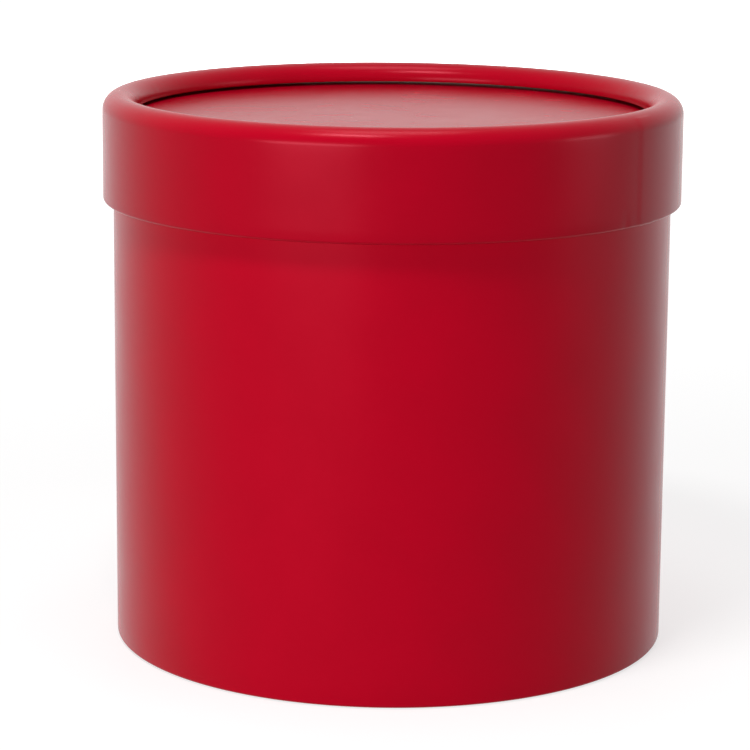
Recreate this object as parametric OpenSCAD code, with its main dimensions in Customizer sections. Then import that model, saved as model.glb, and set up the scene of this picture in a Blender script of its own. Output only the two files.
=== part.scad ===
// Round gift box: wound greyboard tubes wrapped in red laminated paper, with a telescoping lid whose
// top edge is curled inwards over a recessed panel.
// The origin is the centre of the base, on the surface that the box stands on. +Z is up and -Y is the front.

/* [Body] */
// Bore of the body's greyboard tube
body_bore = 150; // [80:1:240]
// Height of the body's rim above the surface that the box stands on
body_h = 144.3; // [60:0.1:300]
// Wall of the body's greyboard tube
body_wall = 2; // [1:0.1:3]
// Thickness of the board set into the foot of the body
base_board_t = 2; // [1:0.1:4]
// Radius to which the cut edges of a tube are pressed
edge_r = 0.6; // [0.2:0.05:0.8]

/* [Lid] */
// Height of the lid, from its lower edge to the crest of the curl
lid_h = 29.4; // [22:0.1:50]
// Wall of the lid's greyboard tube
lid_wall = 1.8; // [1:0.1:2.4]
// Thickness of the board in the top of the lid
lid_board_t = 2; // [1:0.1:4]
// Outer radius of the curled top edge, over its paper
curl_r = 4.63; // [4:0.01:5.5]
// Depth of the top panel below the crest of the curl
recess = 6.2; // [4.5:0.1:7.5]

/* [Paper] */
// Thickness of the wrapping paper with its film and glue
wrap_t = 0.2; // [0.1:0.01:0.4]
// Thickness of the lining paper with its glue
lining_t = 0.15; // [0.08:0.01:0.3]
// Width of the overlap where a wrap's two ends meet
lap_w = 9; // [4:0.5:20]
// Depth of the wrap turned in over the body's rim
rim_turn = 15; // [8:0.5:30]
// Depth of the wrap turned in at the lid's lower edge
lid_turn = 12; // [6:0.5:18]
// Width of the wrap turned under the base
base_turn = 12; // [8:0.5:20]
// Number of tabs that the margin under the base is notched into
base_tabs = 40; // [16:1:60]
// Width of a notch between two tabs, at its open end
notch_w = 1.6; // [0.8:0.1:2.4]
// Length of paper tucked into the hollow of the curl
tuck = 3; // [1:0.5:5]
// Distance of the base cover's edge from the outside of the body
cover_inset = 2.5; // [1.5:0.1:5]
// Distance that the cover reaches past the inner ends of the notches
notch_cover = 1; // [0.5:0.1:2]

/* [Seams] */
// Direction of the body's seam, counted from +X: it is kept at the back
body_seam_at = 118; // [0:1:359]
// Direction of the lid's seam, counted from +X: right of the front
lid_seam_at = 323; // [0:1:359]

/* [Fits] */
// Radial gap in which the lid slides over the body
slide_gap = 0.5; // [0.3:0.05:1]
// Radial gap round a board in the tube that it is glued into
board_gap = 0.1; // [0.05:0.01:0.3]
// Gap left between the end of the curl and the top panel
curl_gap = 0.05; // [0.02:0.01:0.2]

/* [Hidden] */

$fn = 180;
spare = 1;

wrap_red = "#b4001e";
lining_white = "#ece8e0";
board_grey = "#8f8a80";

// Body radii, from the inside out
body_tube_in = body_bore / 2;
body_tube_out = body_tube_in + body_wall;
body_out = body_tube_out + wrap_t;
body_lining_in = body_tube_in - lining_t;
body_turn_in = body_lining_in - wrap_t;
base_board_r = body_lining_in - board_gap;

// Body heights, from the foot up: cover paper, turned-under wrap, board, floor paper
margin_z = wrap_t;
foot_z = margin_z + wrap_t;
floor_z = foot_z + base_board_t;
rim_core_z = body_h - wrap_t;

// Lid radii, from the inside out
lid_turn_r = body_out + slide_gap;
lid_lining_in = lid_turn_r + wrap_t;
lid_tube_in = lid_lining_in + lining_t;
lid_tube_out = lid_tube_in + lid_wall;
lid_out = lid_tube_out + wrap_t;
lid_board_r = lid_tube_in - board_gap;

// Lid heights: the underside rests on the body's rim, and the panel's face lies below the crest
lid_board_z = body_h + lining_t;
lid_paper_z = lid_board_z + lid_board_t;
panel_z = lid_paper_z + wrap_t;
crest_z = panel_z + recess;
lid_low_z = crest_z - lid_h;
lid_foot_z = lid_low_z + wrap_t;

// Curl of the lid's top edge: its board is a ring section round this centre, swept past the half turn
// until the paper on it comes down to the top panel
curl_x = lid_out - curl_r;
curl_z = crest_z - curl_r;
curl_board_out = curl_r - wrap_t;
curl_board_in = curl_board_out - lid_wall;
curl_end = 180 + asin((recess - curl_r - curl_gap) / curl_r);
curl_board_end = curl_end - arc_angle(wrap_t, curl_board_out);
curl_tuck_end = curl_board_end - arc_angle(tuck, curl_board_in);

// Angle that an arc of a given length takes up on a given radius
function arc_angle(length, radius) = length / radius * 180 / PI;

// Turns a section drawn in the XZ half-plane round the box's axis
module turned(sweep = 360, from = 0) rotate_extrude(angle = sweep, start = from) children();

// Rectangle between two radii and two heights
module band(r_in, r_out, z_low, z_high) translate([r_in, z_low]) square([r_out - r_in, z_high - z_low]);

// What a fillet takes off a corner at x, z: the solid lies towards in_x and in_z
module corner_waste(x, z, in_x, in_z, r) {
    translate([x + in_x * r, z + in_z * r]) difference() {
        translate([in_x > 0 ? -2 * r : 0, in_z > 0 ? -2 * r : 0]) square(2 * r);
        circle(r);
    }
}

// Wall section with its lower outer corner and the corners of its top edge rounded
module wall_section(r_in, r_out, z_low, z_high, r_foot, r_rim) {
    difference() {
        band(r_in, r_out, z_low, z_high);
        corner_waste(r_out, z_low, -1, 1, r_foot);
        corner_waste(r_out, z_high, -1, -1, r_rim);
        corner_waste(r_in, z_high, 1, -1, r_rim);
    }
}

// Part of a ring, from angle a to angle b about the centre of the curl
module curl_band(r_in, r_out, a, b) {
    reach = 2 * r_out;
    steps = 6;
    translate([curl_x, curl_z]) intersection() {
        difference() {
            circle(r_out);
            circle(r_in);
        }
        polygon([[0, 0], for (i = [0:steps]) let (t = a + (b - a) * i / steps) reach * [cos(t), sin(t)]]);
    }
}

// Board and lining of the body's wall, which the wrap folds over at the rim, grown on all sides by d
module body_core(d = 0) {
    wall_section(body_lining_in - d, body_tube_out + d, foot_z - d, rim_core_z + d, edge_r + d, edge_r + d);
}

module body_tube() {
    color(board_grey) turned() intersection() {
        body_core();
        band(body_tube_in, body_out, 0, body_h);
    }
}

module body_lining() {
    color(lining_white) turned() intersection() {
        body_core();
        band(body_lining_in - spare, body_tube_in, 0, body_h);
    }
}

// The wrap covers the wall, folds over the rim and down inside, and under the foot
module body_wrap_section() {
    difference() {
        union() {
            body_core(wrap_t);
            band(body_out - base_turn, body_turn_in + spare, margin_z, foot_z);
        }
        body_core();
        band(body_turn_in - spare, body_lining_in, foot_z, body_h - rim_turn);
    }
}

// Second layer of paper where the wrap's ends overlap. It is trimmed off at the folds of foot and rim.
module body_lap_section() {
    band(body_out - wrap_t / 2, body_out + wrap_t, foot_z + edge_r, rim_core_z - edge_r);
}

// Wedge cut from the margin under the base, so that it can lie flat
module margin_notch() {
    depth = base_turn - cover_inset - notch_cover;
    widest = notch_w / 2 * (depth + spare) / depth;
    translate([body_out - base_turn, 0, margin_z - spare])
        linear_extrude(wrap_t + 2 * spare)
            polygon([[depth, 0], [-spare, widest], [-spare, -widest]]);
}

module body_wrap() {
    color(wrap_red) {
        difference() {
            turned() body_wrap_section();
            for (i = [0:base_tabs - 1]) rotate(i * 360 / base_tabs) margin_notch();
        }
        turned(arc_angle(lap_w, body_out), body_seam_at) body_lap_section();
    }
}

module base_board() {
    color(board_grey) translate([0, 0, foot_z]) cylinder(h = base_board_t, r = base_board_r);
}

module base_floor_paper() {
    color(lining_white) translate([0, 0, floor_z]) cylinder(h = lining_t, r = base_board_r);
}

module base_cover_paper() {
    color(wrap_red) cylinder(h = wrap_t, r = body_out - cover_inset);
}

// Straight wall of the lid, up to where the curl begins, grown on both sides and at the foot by d
module lid_wall_section(r_in, d = 0) {
    difference() {
        band(r_in - d, lid_tube_out + d, lid_foot_z - d, curl_z);
        corner_waste(lid_tube_out + d, lid_foot_z - d, -1, 1, edge_r + d);
    }
}

// Board of the curl, grown on both sides and at its cut end by d
module curl_section(d = 0, end = curl_board_end) {
    curl_band(curl_board_in - d, curl_board_out + d, 0, end + arc_angle(d, curl_board_out));
}

module lid_tube() {
    color(board_grey) turned() {
        lid_wall_section(lid_tube_in);
        curl_section();
    }
}

// Lining of the lid's wall, from the lower edge up to the underside of the board
module lid_lining() {
    color(lining_white) turned() band(lid_lining_in, lid_tube_in, lid_foot_z, lid_board_z);
}

// Paper that follows the lid's wall between two distances from it, turned in at the lower edge
module lid_wall_paper(from, to) {
    difference() {
        lid_wall_section(lid_lining_in, to);
        lid_wall_section(lid_lining_in, from);
        band(lid_turn_r - spare, lid_tube_in, lid_low_z + lid_turn, curl_z + spare);
    }
}

// The wrap follows the curl round its cut edge and ends tucked into the hollow
module lid_wrap_section() {
    lid_wall_paper(0, wrap_t);
    difference() {
        curl_section(wrap_t);
        curl_section();
        curl_band(0, curl_board_in, -spare, curl_tuck_end);
    }
}

// Second layer of paper where the wrap's ends overlap, as far as the inside of the curl
module lid_lap_section() {
    lid_wall_paper(wrap_t / 2, 2 * wrap_t);
    curl_band(curl_r - wrap_t / 2, curl_r + wrap_t, 0, 180);
}

module lid_wrap() {
    color(wrap_red) {
        turned() lid_wrap_section();
        turned(arc_angle(lap_w, lid_out), lid_seam_at) lid_lap_section();
    }
}

module lid_board() {
    color(board_grey) translate([0, 0, lid_board_z]) cylinder(h = lid_board_t, r = lid_board_r);
}

module lid_top_paper() {
    color(wrap_red) translate([0, 0, lid_paper_z]) cylinder(h = wrap_t, r = lid_board_r);
}

module lid_under_paper() {
    color(lining_white) translate([0, 0, body_h]) cylinder(h = lining_t, r = lid_lining_in - board_gap);
}

body_tube();
body_wrap();
body_lining();
base_board();
base_floor_paper();
base_cover_paper();
lid_tube();
lid_wrap();
lid_lining();
lid_board();
lid_top_paper();
lid_under_paper();
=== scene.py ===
# Round gift box in deep red laminated paper: its looks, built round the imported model.
import math

import bpy
import numpy as np
from mathutils import Matrix


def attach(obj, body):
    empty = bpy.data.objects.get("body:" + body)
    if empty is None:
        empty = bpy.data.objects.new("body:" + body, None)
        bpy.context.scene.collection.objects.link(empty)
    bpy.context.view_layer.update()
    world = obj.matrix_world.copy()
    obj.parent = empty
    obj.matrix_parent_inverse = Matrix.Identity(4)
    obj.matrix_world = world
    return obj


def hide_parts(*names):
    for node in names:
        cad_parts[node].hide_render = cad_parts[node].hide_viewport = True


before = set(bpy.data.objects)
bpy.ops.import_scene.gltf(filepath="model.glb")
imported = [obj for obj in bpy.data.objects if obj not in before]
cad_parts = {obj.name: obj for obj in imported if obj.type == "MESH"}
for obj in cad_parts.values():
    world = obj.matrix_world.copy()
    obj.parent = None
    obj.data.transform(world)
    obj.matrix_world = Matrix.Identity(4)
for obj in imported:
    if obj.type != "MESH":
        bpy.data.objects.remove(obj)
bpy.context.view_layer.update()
print("stage: frame loaded")

mm = 0.001
fullTurn = 2 * math.pi
creaseAngle = math.radians(55)  # edges sharper than this are shaded as creases
cutSteps = (-0.14, -0.02, 0.02, 0.14)  # columns on both sides of a cut end, in mm from it
backEvery = 3  # the other side of a sheet has every third row of its front


# sRGB hex to linear RGBA: the low end is a straight line, the rest a power of 2.4
def colourOf(hexText):
    values = [int(hexText[i:i + 2], 16) / 255 for i in (1, 3, 5)]
    linear = [v / 12.92 if v <= 0.04045 else ((v + 0.055) / 1.055) ** 2.4 for v in values]
    return (*linear, 1)


# Adds a node, sets its properties and inputs, and links the inputs that are given as sockets
def addNode(tree, kind, inputs=None, **settings):
    node = tree.nodes.new("ShaderNode" + kind)
    for key, value in settings.items():
        setattr(node, key, value)
    for key, value in (inputs or {}).items():
        if isinstance(value, bpy.types.NodeSocket):
            tree.links.new(value, node.inputs[key])
        else:
            node.inputs[key].default_value = value
    return node


# Points (r, z) on a straight line with the right-hand normal of its direction, without the last point
def straight(start, end, count):
    start, end = np.array(start, float), np.array(end, float)
    share = np.arange(count)[:, None] / count
    along = (end - start) / np.linalg.norm(end - start)
    points = start + (end - start) * share
    return np.hstack([points, np.tile([along[1], -along[0]], (count, 1))])


# Points on an arc, without the last: centre + radius × (cos, sin). A falling angle turns the normal inwards.
def bend(centre, radius, fromDegrees, toDegrees, count):
    angle = np.radians(np.linspace(fromDegrees, toDegrees, count, endpoint=False))
    spoke = np.stack([np.cos(angle), np.sin(angle)], 1)
    side = 1 if toDegrees > fromDegrees else -1
    return np.hstack([np.array(centre) + radius * spoke, side * spoke])


# Closing point of a path, with its normal
def endPoint(place, normal):
    return np.array([[*place, *normal]], float)


# Hermite ramp from 0 at low to 1 at high
def ease(value, low, high):
    share = np.clip((value - low) / (high - low), 0, 1)
    return share * share * (3 - 2 * share)


# Sum of sines round the box whose orders and phases are drawn once from a seed, scaled to ±size
def unevenness(angle, size, orders, seed):
    draw = np.random.default_rng(seed)
    total = sum(np.sin(k * angle + draw.uniform(0, fullTurn)) / math.sqrt(k) for k in orders)
    return size * total / math.sqrt(len(orders))


# Second layer where a sheet's ends overlap: it eases in over the covered end and drops at the cut end
def lapRise(angle, lap):
    along = ((angle - math.radians(lap["from"])) % fullTurn) * lap["radius"]
    return lap["thick"] * ease(along, 0, lap["ease"]) * (along < lap["wide"])


# Evenly spaced angles, with a close pair and its two supports at each cut end
def anglesRound(columns, cutEnds=()):
    angles = list(np.arange(columns) * fullTurn / columns)
    for cut in cutEnds:
        at = math.radians(cut["from"]) + cut["wide"] / cut["radius"]
        angles += [(at + step / cut["radius"]) % fullTurn for step in cutSteps]
    return np.unique(np.round(angles, 9))


# Puts a grid of points into a mesh. Columns always close on themselves. Rows close too, or end in a
# single point on the axis where pole is set. Faces point outwards: a negative volume turns them round.
def skin(name, grid, pole=False):
    rows, columns = grid.shape[:2]
    if pole:
        points = np.vstack([grid[0, :1], grid[1:-1].reshape(-1, 3), grid[-1, :1]])
        index = np.arange((rows - 2) * columns).reshape(rows - 2, columns) + 1
        right = np.roll(index, -1, axis=1)
        quads = np.stack([index[:-1], right[:-1], right[1:], index[1:]], 2).reshape(-1, 4)
        last = len(points) - 1
        caps = [(0, b, a) for a, b in zip(index[0], right[0])]
        caps += [(last, a, b) for a, b in zip(index[-1], right[-1])]
    else:
        points = grid.reshape(-1, 3)
        index = np.arange(rows * columns).reshape(rows, columns)
        right = np.roll(index, -1, axis=1)
        quads = np.stack([index, right, np.roll(right, -1, axis=0), np.roll(index, -1, axis=0)], 2)
        quads, caps = quads.reshape(-1, 4), []
    corner = points[quads]
    volume = np.einsum("ij,ij->i", corner[:, 0], np.cross(corner[:, 1], corner[:, 2])).sum()
    volume += np.einsum("ij,ij->i", corner[:, 0], np.cross(corner[:, 2], corner[:, 3])).sum()
    faces = quads.tolist() + [tuple(int(i) for i in c) for c in caps]
    if volume < 0:
        faces = [face[::-1] for face in faces]
    mesh = bpy.data.meshes.new(name)
    mesh.from_pydata((points * mm).tolist(), [], faces)
    mesh.validate()
    mesh.shade_smooth()
    mesh.set_sharp_from_angle(angle=creaseAngle)
    piece = bpy.data.objects.new(name, mesh)
    bpy.context.scene.collection.objects.link(piece)
    return piece


# Turns sections (r, z), one for each column, round the axis: x = r cos a, y = r sin a
def turned(section, angles):
    radius, height = section[..., 0], section[..., 1]
    return np.stack([radius * np.cos(angles), radius * np.sin(angles), height + 0 * angles], -1)


# A sheet that follows a path round the box. Front face: path + normal × (half the thickness + raised);
# back face: path - normal × half the thickness, with fewer rows. shift moves both faces.
def wrappedSheet(name, path, angles, thick, raised, shift):
    rows = np.unique(np.r_[0:len(path):backEvery, len(path) - 1])[::-1]
    base = path[:, None, :2] + shift
    out = path[:, None, 2:]
    front = base + out * (thick / 2 + raised)[..., None]
    back = (base - out * thick / 2 + 0 * front)[rows]
    return skin(name, turned(np.concatenate([front, back]), angles))


# A flat disc of paper. Its faces swell by sines of place, sin(2 pi (x cos h + y sin h) / size + phase), which
# fade out towards the rim. The rim is rounded by a half turn between the two faces.
rimSteps = 7
ringPower = 0.8  # below 1: rings lie closer towards the rim
flatRim = 8  # width in mm over which the swell fades


def paperDisc(name, disc):
    angles = anglesRound(disc["columns"])
    edge = np.linspace(90, -90, rimSteps)
    rim = np.stack([disc["radius"] - disc["round"] * (1 - np.cos(np.radians(edge))),
                    np.sin(np.radians(edge)) * disc["thick"] / 2], 1)
    reach = (disc["radius"] - disc["round"]) * np.linspace(0, 1, disc["rings"])[:-1] ** ringPower
    back = reach[::-1][::backEvery]
    top = np.stack([reach, np.full(len(reach), disc["thick"] / 2)], 1)
    low = np.stack([back, np.full(len(back), -disc["thick"] / 2)], 1)
    if low[-1, 0] > 0:
        low = np.vstack([low, [0, -disc["thick"] / 2]])
    section = np.vstack([top, rim, low])[:, None, :] + np.zeros((1, len(angles), 2))
    grid = turned(section, angles)
    x, y = grid[..., 0], grid[..., 1]
    draw = np.random.default_rng(disc["seed"])
    swell = 0
    for size in disc["swells"]:
        heading = draw.uniform(0, fullTurn)
        swell = swell + np.sin((x * math.cos(heading) + y * math.sin(heading)) / size * fullTurn
                               + draw.uniform(0, fullTurn))
    swell = swell / len(disc["swells"]) * disc["swell"]
    grid[..., 2] += disc["middle"] + swell * ease(disc["radius"] - np.hypot(x, y), 0, flatRim)
    return skin(name, grid, pole=True)


# Finish shared by all papers: its own colour cloud, fibres and two scales of relief on Object coordinates
def paperMaterial(name, look):
    material = bpy.data.materials.new(name)
    material.use_nodes = True
    tree = material.node_tree
    tree.nodes.clear()
    place = addNode(tree, "TexCoord").outputs["Object"]
    cloud = addNode(tree, "TexNoise", {"Vector": place, "Scale": 1 / (look["cloudSize"] * mm), "Detail": 3.0})
    fibre = addNode(tree, "TexNoise", {"Vector": place, "Scale": 1 / (look["fibreSize"] * mm), "Detail": 4.0,
                                       "Roughness": 0.6})
    board = addNode(tree, "TexNoise", {"Vector": place, "Scale": 1 / (look["boardSize"] * mm), "Detail": 2.0})
    tone = addNode(tree, "Mix", {"Factor": cloud.outputs["Fac"], "A": colourOf(look["deep"]),
                                 "B": colourOf(look["light"])}, data_type="RGBA")
    tint = addNode(tree, "Mix", {"Factor": fibre.outputs["Fac"], "A": tone.outputs["Result"],
                                 "B": colourOf(look["fibre"])}, data_type="RGBA")
    mute = addNode(tree, "Mix", {"Factor": look["fibreShare"], "A": tone.outputs["Result"],
                                 "B": tint.outputs["Result"]}, data_type="RGBA")
    rough = addNode(tree, "MapRange", {"Value": cloud.outputs["Fac"], "From Min": 0.3, "From Max": 0.7,
                                       "To Min": look["rough"] - look["roughSpread"],
                                       "To Max": look["rough"] + look["roughSpread"]})
    relief = addNode(tree, "Bump", {"Height": board.outputs["Fac"], "Strength": look["boardBump"],
                                    "Distance": look["boardDepth"] * mm})
    grain = addNode(tree, "Bump", {"Height": fibre.outputs["Fac"], "Strength": look["fibreBump"],
                                   "Distance": look["fibreDepth"] * mm, "Normal": relief.outputs["Normal"]})
    shader = addNode(tree, "BsdfPrincipled", {"Base Color": mute.outputs["Result"],
                                              "Roughness": rough.outputs["Result"],
                                              "Normal": grain.outputs["Normal"], "IOR": look["ior"]})
    shader.inputs["Specular IOR Level"].default_value = look["gloss"]
    shader.inputs["Specular Tint"].default_value = colourOf(look["glossTint"])
    addNode(tree, "OutputMaterial", {"Surface": shader.outputs["BSDF"]})
    return material


# Real paper fibres are some hundredths of a mm thick. Here they are drawn at about half a mm, to show at all.
# Dyed art paper under a matt polypropylene film: deep even red, pale only at grazing angles. IOR and gloss
# are lower than the film's own 1.49 and 0.5, because the red stays deep in the photograph.
redLook = {
    "deep": "#b0001c", "light": "#ba0020", "fibre": "#c20326", "fibreShare": 0.15,
    "cloudSize": 16, "fibreSize": 0.5, "boardSize": 7,
    "rough": 0.25, "roughSpread": 0.02, "ior": 1.35, "gloss": 0.32, "glossTint": "#ff8ca0",
    "boardBump": 0.04, "boardDepth": 0.03, "fibreBump": 0.04, "fibreDepth": 0.01,
}
# Uncoated white lining paper: dull, faintly warm, with visible fibres
liningLook = {
    "deep": "#e3ded3", "light": "#eeeae1", "fibre": "#f6f3ec", "fibreShare": 0.5,
    "cloudSize": 12, "fibreSize": 0.7, "boardSize": 5,
    "rough": 0.8, "roughSpread": 0.06, "ior": 1.5, "gloss": 0.35, "glossTint": "#ffffff",
    "boardBump": 0.4, "boardDepth": 0.05, "fibreBump": 0.4, "fibreDepth": 0.03,
}
# Recycled greyboard, calendered: grey with paler and darker flecks of old paper
greyLook = {
    "deep": "#7c776d", "light": "#9c968a", "fibre": "#bdb7aa", "fibreShare": 0.7,
    "cloudSize": 3, "fibreSize": 0.6, "boardSize": 4,
    "rough": 0.88, "roughSpread": 0.05, "ior": 1.5, "gloss": 0.3, "glossTint": "#ffffff",
    "boardBump": 0.4, "boardDepth": 0.05, "fibreBump": 0.5, "fibreDepth": 0.04,
}
redPaper = paperMaterial("matt_laminated_red_paper", redLook)
# The lid's paper shows a shade deeper than the body's
lidRedLook = {**redLook, "deep": "#a6001a", "light": "#b0001e", "fibre": "#b80324"}
lidRedPaper = paperMaterial("matt_laminated_red_lid_paper", lidRedLook)
liningPaper = paperMaterial("uncoated_lining_paper", liningLook)
greyboard = paperMaterial("recycled_greyboard", greyLook)
print("stage: materials made")


# Gives a finished piece its material and body, and hides the CAD node that it stands for
def finishPiece(piece, material, body, node):
    piece.data.materials.append(material)
    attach(piece, body)
    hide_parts(node)


# Lid wrap: in at the lower edge, up the wall, over the curl and tucked into its hollow. Lengths are in mm,
# turns on the curl in degrees from its outer side. The curl stops short of the panel, and a dark slot
# shows there.
lidWrap = {
    "columns": 900, "thick": 0.2,
    "turnIn": 77.8, "turnTop": 135.45, "low": 123.55, "wall": 79.95, "foldIn": 0.15, "fold": 0.7,
    "curlCentre": (75.42, 148.22), "curl": 4.53, "curlEnd": 187, "hollow": 2.53, "tuckEnd": -25,
    "endRound": 0.15, "endShort": 2, "lapEnd": 170,
    "lap": {"from": 323, "wide": 9, "thick": 0.12, "ease": 3, "radius": 80.05},
    "outOfRound": 0.05, "roundSeed": 3, "edgeWave": 0.05, "edgeSeed": 4, "edgeZone": (124, 130),
    "wrinkles": 190, "wrinkleDepth": 0.05, "wrinkleWide": 0.0105, "seed": 11,
    "wrinkleFrom": (95, 165), "wrinkleEase": 50, "wrinkleSpread": (0.6, 1.4),
    "dentAt": 319.9, "dentWide": 1.3, "dentHigh": 0.6, "dentDeep": 0.16, "dentZ": 124.3,
}


# Path of the lid's wrap as rows of (r, z, normal)
def lidWrapPath(box):
    cx, cz = box["curlCentre"]
    low, wall, fold, foldIn, turnIn = box["low"], box["wall"], box["fold"], box["foldIn"], box["turnIn"]
    endTurn = box["curlEnd"] - box["endShort"]
    endRound, tuckEnd = box["endRound"], math.radians(box["tuckEnd"])
    cos, sin = math.cos(math.radians(endTurn)), math.sin(math.radians(endTurn))
    outerCorner = (cx + (box["curl"] - endRound) * cos, cz + (box["curl"] - endRound) * sin)
    innerCorner = (cx + (box["hollow"] + endRound) * cos, cz + (box["hollow"] + endRound) * sin)
    outerLast = (outerCorner[0] - endRound * sin, outerCorner[1] + endRound * cos)
    innerFirst = (innerCorner[0] - endRound * sin, innerCorner[1] + endRound * cos)
    return np.vstack([
        straight((turnIn, box["turnTop"]), (turnIn, low + foldIn), 4),
        bend((turnIn + foldIn, low + foldIn), foldIn, 180, 270, 3),
        straight((turnIn + foldIn, low), (wall - fold, low), 2),
        bend((wall - fold, low + fold), fold, 270, 360, 6),
        straight((wall, low + fold), (wall, cz), 9),
        bend(box["curlCentre"], box["curl"], 0, endTurn, 40),
        bend(outerCorner, endRound, endTurn, endTurn + 90, 3),
        straight(outerLast, innerFirst, 2),
        bend(innerCorner, endRound, endTurn + 90, endTurn + 180, 3),
        bend(box["curlCentre"], box["hollow"], endTurn, box["tuckEnd"], 7),
        endPoint((cx + box["hollow"] * math.cos(tuckEnd), cz + box["hollow"] * math.sin(tuckEnd)),
                 (-math.cos(tuckEnd), -math.sin(tuckEnd))),
    ])


def makeLidWrap(box):
    path = lidWrapPath(box)
    angles = anglesRound(box["columns"], [box["lap"]])
    cx, cz = box["curlCentre"]
    rise = np.degrees(np.arctan2(path[:, 1] - cz, path[:, 0] - cx)) % 360
    onCurl = (np.hypot(path[:, 0] - cx, path[:, 1] - cz) > box["curl"] - 0.3) & (path[:, 1] > cz - 2)
    draw = np.random.default_rng(box["seed"])
    # gathers: the paper is too long for the inside of the curl, so it rises in narrow radial ridges that
    # start at different heights; each ridge is a bell across and eases in along the curl
    raised = np.zeros((len(path), len(angles)))
    for k in range(box["wrinkles"]):
        at = (k + draw.uniform(-0.4, 0.4)) / box["wrinkles"] * fullTurn
        starts = draw.uniform(*box["wrinkleFrom"])
        size = box["wrinkleDepth"] * draw.uniform(0.15, 1) ** 2
        away = (angles - at + math.pi) % fullTurn - math.pi
        across = np.exp(-(away / (box["wrinkleWide"] * draw.uniform(*box["wrinkleSpread"]))) ** 2)
        raised += (onCurl * ease(rise, starts, starts + box["wrinkleEase"]))[:, None] * size * across
    outside = (path[:, 2] > -0.3) & (path[:, 0] > box["turnIn"] + 0.3)
    underLap = outside & ((rise < box["lapEnd"]) | (path[:, 1] < cz))
    raised += (underLap * 1.0)[:, None] * lapRise(angles, box["lap"])
    # dent at the lower edge, where the folded-in corner of the lap leaves a small hollow
    aside = ((angles - math.radians(box["dentAt"]) + math.pi) % fullTurn - math.pi) * box["wall"]
    above = path[:, 1] - box["dentZ"]
    dent = np.exp(-(above / box["dentHigh"]) ** 2)[:, None] * np.exp(-(aside / box["dentWide"]) ** 2)
    raised -= outside[:, None] * (path[:, 2] > 0)[:, None] * dent * box["dentDeep"]
    shift = np.zeros((len(path), len(angles), 2))
    shift[..., 0] = unevenness(angles, box["outOfRound"], (2, 3, 5, 8), box["roundSeed"])
    nearEdge = 1 - ease(path[:, 1], *box["edgeZone"])
    shift[..., 1] = unevenness(angles, box["edgeWave"], (3, 5, 7, 11), box["edgeSeed"]) * nearEdge[:, None]
    return wrappedSheet("lid_wrap_paper", path, angles, box["thick"], raised, shift)


finishPiece(makeLidWrap(lidWrap), lidRedPaper, "lid", "lid_wrap")
print("stage: lid wrap made")

# Lid tube: wound greyboard, its foot pressed round and its top edge curled in, a little short of its paper
lidTube = {
    "columns": 480, "thick": 1.8, "middle": 78.95, "low": 123.65, "footRound": 0.6,
    "curlCentre": (75.42, 148.22), "curl": 3.53, "curlEnd": 182, "wavy": 0.01, "seed": 12,
}


def makeLidTube(box):
    cx, cz = box["curlCentre"]
    last = math.radians(box["curlEnd"])
    spoke = np.array([math.cos(last), math.sin(last)])
    path = np.vstack([
        straight((box["middle"], box["low"]), (box["middle"], box["low"] + box["footRound"]), 5),
        straight((box["middle"], box["low"] + box["footRound"]), (box["middle"], cz), 6),
        bend(box["curlCentre"], box["curl"], 0, box["curlEnd"], 30),
        endPoint(np.array([cx, cz]) + box["curl"] * spoke, spoke),
    ])
    angles = anglesRound(box["columns"])
    # foot: a quarter circle, whose depth at a height is r - sqrt(r² - (r - height)²)
    left = np.clip(box["footRound"] + box["low"] - path[:, 1], 0, None)
    raised = (np.sqrt(box["footRound"] ** 2 - left ** 2) - box["footRound"])[:, None] + 0 * angles
    shift = np.zeros((len(path), len(angles), 2))
    shift[..., 0] = unevenness(angles, box["wavy"], (2, 3, 5), box["seed"])
    return wrappedSheet("lid_board_tube", path, angles, box["thick"], raised, shift)


finishPiece(makeLidTube(lidTube), greyboard, "lid", "lid_tube")
print("stage: lid tube made")

# Body wrap: margin under the base, up the wall, over the rim and down inside
bodyWrap = {
    "columns": 960, "thick": 0.2,
    "marginIn": 65.2, "margin": 0.3, "wall": 77.1, "fold": 0.7, "rim": 144.2, "turnIn": 74.75,
    "turnEnd": 129.3, "tabs": 40, "notchDeep": 8.5, "notchWide": 0.0131,
    "lap": {"from": 118, "wide": 9, "thick": 0.12, "ease": 3, "radius": 77.2},
    "outOfRound": 0.05, "roundSeed": 8, "turnWave": 0.35, "turnSeed": 21, "lapLow": 0.9, "lapShort": 0.6,
}


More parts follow.
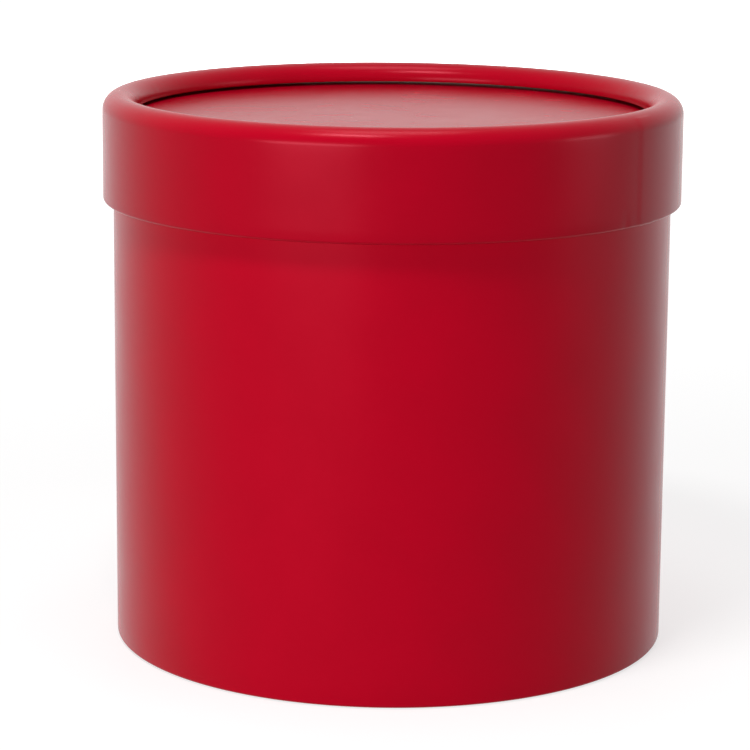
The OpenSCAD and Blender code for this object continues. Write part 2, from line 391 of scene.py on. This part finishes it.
def makeBodyWrap(box):
    wall, fold, rim, low = box["wall"], box["fold"], box["rim"], box["margin"]
    margin = straight((box["marginIn"], low), (wall - fold, low), 6)
    path = np.vstack([
        margin,
        bend((wall - fold, low + fold), fold, 270, 360, 7),
        straight((wall, low + fold), (wall, rim - fold), 26),
        bend((wall - fold, rim - fold), fold, 0, 90, 7),
        straight((wall - fold, rim), (box["turnIn"] + fold, rim), 2),
        bend((box["turnIn"] + fold, rim - fold), fold, 90, 180, 7),
        straight((box["turnIn"], rim - fold), (box["turnIn"], box["turnEnd"]), 6),
        endPoint((box["turnIn"], box["turnEnd"]), (-1, 0)),
    ])
    angles = anglesRound(box["columns"], [box["lap"]])
    outside = (path[:, 2] > 0.5) & (path[:, 1] > box["lapLow"]) & (path[:, 1] < rim - box["lapShort"])
    raised = (outside * 1.0)[:, None] * lapRise(angles, box["lap"])
    shift = np.zeros((len(path), len(angles), 2))
    shift[..., 0] = unevenness(angles, box["outOfRound"], (2, 3, 4, 7), box["roundSeed"])
    # notches: between two tabs the margin's inner end draws back in a V towards the fold
    tabTurn = fullTurn / box["tabs"]
    away = np.abs((angles + tabTurn / 2) % tabTurn - tabTurn / 2)
    notch = box["notchDeep"] * np.clip(1 - away / box["notchWide"], 0, 1)
    stay = np.zeros(len(path))
    stay[:len(margin)] = 1 - np.arange(len(margin)) / len(margin)
    shift[..., 0] += stay[:, None] * notch
    # the turned-in edge inside isn't quite straight, so its height wanders a little
    inside = (path[:, 0] < box["turnIn"] + 0.01) & (path[:, 1] > box["turnEnd"] - 1)
    inside = inside * ease(-path[:, 1], -rim + 2, -box["turnEnd"])
    shift[..., 1] += inside[:, None] * unevenness(angles, box["turnWave"], (2, 5, 9), box["turnSeed"])
    return wrappedSheet("body_wrap_paper", path, angles, box["thick"], raised, shift)


finishPiece(makeBodyWrap(bodyWrap), redPaper, "body", "body_wrap")
print("stage: body wrap made")


# Lining inside a tube: a thin sleeve whose lap rises towards the axis
def makeLining(name, box):
    middle = box["inner"] + box["thick"] / 2
    path = np.vstack([
        straight((middle, box["top"]), (middle, box["low"]), box["rows"]),
        endPoint((middle, box["low"]), (-1, 0)),
    ])
    angles = anglesRound(box["columns"], [box["lap"]])
    shown = (path[:, 1] < box["lapTop"]) & (path[:, 1] > box["lapLow"])
    raised = (shown * 1.0)[:, None] * lapRise(angles, box["lap"])
    shift = np.zeros((len(path), len(angles), 2))
    shift[..., 0] = unevenness(angles, box["outOfRound"], (3, 4, 6, 9), box["seed"])
    return wrappedSheet(name, path, angles, box["thick"], raised, shift)


bodyLining = {"inner": 74.85, "thick": 0.15, "top": 143.2, "low": 0.7, "rows": 30, "columns": 480,
              "lapTop": 129, "lapLow": 2.9, "outOfRound": 0.02, "seed": 31,
              "lap": {"from": 250, "wide": 8, "thick": 0.12, "ease": 2, "radius": 74.85}}
lidLining = {"inner": 77.9, "thick": 0.15, "top": 144.4, "low": 123.8, "rows": 12, "columns": 480,
             "lapTop": 144.2, "lapLow": 135.7, "outOfRound": 0.02, "seed": 32,
             "lap": {"from": 60, "wide": 8, "thick": 0.12, "ease": 2, "radius": 77.9}}
bodySleeve = makeLining("body_lining_paper", bodyLining)
lidSleeve = makeLining("lid_lining_paper", lidLining)
finishPiece(bodySleeve, liningPaper, "body", "body_lining")
finishPiece(lidSleeve, liningPaper, "lid", "lid_lining")
print("stage: linings made")

# Discs: middle is the height of the sheet's own middle, swell the height of its soft waves
topPanel = {"radius": 77.95, "thick": 0.2, "round": 0.08, "middle": 146.55, "swell": 0.05,
            "swells": (61, 47, 33, 90), "seed": 5, "rings": 60, "columns": 360}
underPaper = {"radius": 77.8, "thick": 0.15, "round": 0.06, "middle": 144.375, "swell": 0.0,
              "swells": (50, 35), "seed": 6, "rings": 24, "columns": 240}
floorPaper = {"radius": 74.75, "thick": 0.15, "round": 0.06, "middle": 2.475, "swell": 0.04,
              "swells": (55, 38, 27), "seed": 7, "rings": 50, "columns": 300}
coverPaper = {"radius": 74.7, "thick": 0.2, "round": 0.08, "middle": 0.1, "swell": 0.0,
              "swells": (60, 40), "seed": 9, "rings": 24, "columns": 300}
topDisc = paperDisc("lid_panel_paper", topPanel)
underDisc = paperDisc("lid_underside_paper", underPaper)
floorDisc = paperDisc("floor_paper", floorPaper)
coverDisc = paperDisc("base_paper", coverPaper)
finishPiece(topDisc, lidRedPaper, "lid", "lid_top_paper")
finishPiece(underDisc, liningPaper, "lid", "lid_under_paper")
finishPiece(floorDisc, liningPaper, "body", "base_floor_paper")
finishPiece(coverDisc, redPaper, "body", "base_cover_paper")
for boardName in ("body_tube", "base_board", "lid_board"):
    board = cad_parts[boardName]
    board.data.materials.clear()
    board.data.materials.append(greyboard)
print("stage: discs and boards made")

# Floor and surroundings. The lift is the floor's own glow for the camera and reflections: it grows from
# liftNear to liftFar between near and far, in metres from the box, as the lamps' light fades there.
studio = {"floorHalf": 12, "floorColour": "#a8a8a8", "liftNear": 0.7, "liftFar": 1.0, "near": 0.2, "far": 1.0,
          "ambient": 0.12, "floorGap": 0.02}


# White for what the camera and reflections see, by the ray's kind; plain grey for the light that it gives
def seenRays(tree):
    ray = addNode(tree, "LightPath")
    first = addNode(tree, "Math", {0: ray.outputs["Is Camera Ray"], 1: ray.outputs["Is Glossy Ray"]},
                    operation="MAXIMUM")
    return addNode(tree, "Math", {0: first.outputs[0], 1: ray.outputs["Is Transmission Ray"]},
                   operation="MAXIMUM").outputs[0]


# Seamless paper floor, matt: with its glow it shows white, with the object's soft shadow on it
def makeFloor(setup):
    half, low = setup["floorHalf"], -setup["floorGap"] * mm
    corners = [(-half, -half, low), (half, -half, low), (half, half, low), (-half, half, low)]
    mesh = bpy.data.meshes.new("studio_floor")
    mesh.from_pydata(corners, [], [(0, 1, 2, 3)])
    floor = bpy.data.objects.new("studio_floor", mesh)
    bpy.context.scene.collection.objects.link(floor)
    material = bpy.data.materials.new("matt_white_sweep")
    material.use_nodes = True
    tree = material.node_tree
    tree.nodes.clear()
    matt = addNode(tree, "BsdfDiffuse", {"Color": colourOf(setup["floorColour"])})
    place = addNode(tree, "TexCoord").outputs["Object"]
    away = addNode(tree, "VectorMath", {0: place}, operation="LENGTH").outputs["Value"]
    level = addNode(tree, "MapRange", {"Value": away, "From Min": setup["near"], "From Max": setup["far"],
                                       "To Min": setup["liftNear"], "To Max": setup["liftFar"]})
    lift = addNode(tree, "Math", {0: seenRays(tree), 1: level.outputs["Result"]}, operation="MULTIPLY")
    glow = addNode(tree, "Emission", {"Strength": lift.outputs[0]})
    both = addNode(tree, "AddShader", {0: matt.outputs[0], 1: glow.outputs[0]})
    addNode(tree, "OutputMaterial", {"Surface": both.outputs[0]})
    mesh.materials.append(material)


def makeWorld(setup):
    world = bpy.data.worlds.new("white_studio")
    bpy.context.scene.world = world
    world.use_nodes = True
    tree = world.node_tree
    tree.nodes.clear()
    dim = addNode(tree, "Background", {"Strength": setup["ambient"]})
    white = addNode(tree, "Background", {"Strength": 1.0})
    for glow in (dim, white):
        glow.inputs["Color"].default_value = (1, 1, 1, 1)
    both = addNode(tree, "MixShader", {0: seenRays(tree), 1: dim.outputs[0], 2: white.outputs[0]})
    addNode(tree, "OutputWorld", {"Surface": both.outputs[0]})


makeFloor(studio)
makeWorld(studio)

# Lamps: where each stands as azimuth from the front (+ is right) and elevation in degrees, its distance
# and sides in metres, and the light it puts on a surface that faces it, where 1 shows a colour as written.
# A lamp that isn't mirrored adds no glare.
lamps = {
    "low_strip_key": {"azimuth": -30, "elevation": 5, "away": 1.5, "wide": 0.9, "tall": 0.18, "level": 0.62},
    "side_fill": {"azimuth": 80, "elevation": 5, "away": 1.6, "wide": 0.6, "tall": 0.4, "level": 0.14},
    "near_top_light": {"azimuth": -22.6, "elevation": 62.5, "away": 0.563, "wide": 0.15, "tall": 0.08,
                       "level": 0.45},
    "overhead_softbox": {"azimuth": 0, "elevation": 89, "away": 1.2, "wide": 0.5, "tall": 0.5, "level": 0.31},
    "back_fill": {"azimuth": 180, "elevation": 3, "away": 1.6, "wide": 0.8, "tall": 0.3, "level": 0.5,
                  "mirrored": False},
}
lampAim = (0, 0, 0.09)


# Power of a lamp from its level: power = level × pi² × distance². The aim is a little above the box's middle.
def makeLamp(name, lamp):
    azimuth, elevation = math.radians(lamp["azimuth"]), math.radians(lamp["elevation"])
    back = np.array([math.sin(azimuth) * math.cos(elevation), -math.cos(azimuth) * math.cos(elevation),
                     math.sin(elevation)])
    data = bpy.data.lights.new(name, "AREA")
    data.shape = "RECTANGLE"
    data.size, data.size_y = lamp["wide"], lamp["tall"]
    data.energy = lamp["level"] * math.pi ** 2 * lamp["away"] ** 2
    item = bpy.data.objects.new(name, data)
    bpy.context.scene.collection.objects.link(item)
    aim = np.array(lampAim)
    side = np.cross([0, 0, 1], back)
    side = side / np.linalg.norm(side)
    rows = np.array([side, np.cross(back, side), back]).T
    place = aim + back * lamp["away"]
    item.matrix_world = Matrix([[*rows[i], place[i]] for i in range(3)] + [[0, 0, 0, 1]])
    item.visible_camera = False
    item.visible_glossy = lamp.get("mirrored", True)


for lampName, lamp in lamps.items():
    makeLamp(lampName, lamp)
print("stage: floor, surroundings and lamps made")

# Camera as the photograph was taken: level turn (yaw), downward tilt (pitch) and roll in radians
cameraSetup = {"place": (0, -0.82454, 0.25034), "pitch": 0.212032, "yaw": -0.0051585, "roll": 0.0093706,
               "lens": 143.70, "sensor": 36}


def makeCamera(setup):
    pitch, yaw, roll = setup["pitch"], setup["yaw"], setup["roll"]
    ahead = np.array([0, math.cos(pitch), -math.sin(pitch)])
    right = np.array([1.0, 0, 0])
    up = np.cross(right, ahead)
    ahead, right = (ahead * math.cos(yaw) + right * math.sin(yaw),
                    right * math.cos(yaw) - ahead * math.sin(yaw))
    right, up = (right * math.cos(roll) + up * math.sin(roll),
                 up * math.cos(roll) - right * math.sin(roll))
    data = bpy.data.cameras.new("photo_camera")
    data.sensor_width = setup["sensor"]
    data.lens = setup["lens"]
    data.clip_start, data.clip_end = 0.01, 100
    camera = bpy.data.objects.new("photo_camera", data)
    bpy.context.scene.collection.objects.link(camera)
    rows = np.array([right, up, -ahead]).T
    camera.matrix_world = Matrix([[*rows[i], setup["place"][i]] for i in range(3)] + [[0, 0, 0, 1]])
    bpy.context.scene.camera = camera


makeCamera(cameraSetup)
bpy.context.scene.view_settings.view_transform = "Standard"
print("stage: camera made")
